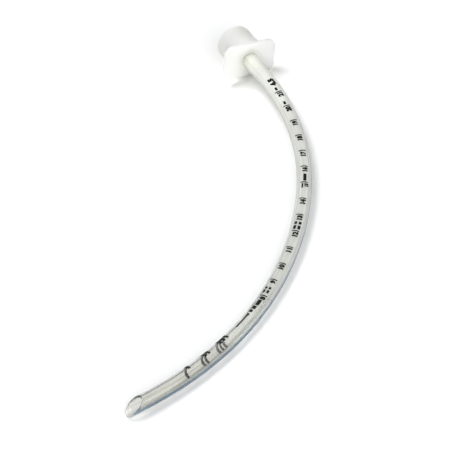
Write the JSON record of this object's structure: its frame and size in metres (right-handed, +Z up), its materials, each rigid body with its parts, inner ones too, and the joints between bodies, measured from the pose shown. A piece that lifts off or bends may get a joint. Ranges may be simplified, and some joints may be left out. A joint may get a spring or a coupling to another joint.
{
  "type": "endotracheal tube",
  "caption": "Curved clear uncuffed breathing tube with a bevelled tip, pushed onto a white tapered connector with a winged flange.",
  "frame": {"origin": "middle of the footprint, on the surface that the part lies on", "axes": "+Z up from that surface; +Y from the bevelled tip towards the connector, along the part's length; +X towards the outside of the tube's curve"},
  "size_m": [0.0846, 0.2236, 0.0184],
  "materials": {
    "clear_pvc": "clear soft plastic, slightly milky, smooth",
    "natural_plastic": "moulded, uncoloured and slightly translucent, satin"
  },
  "bodies": {
    "root": {"tube": "clear_pvc", "connector": "natural_plastic"}
  },
  "joints": []
}
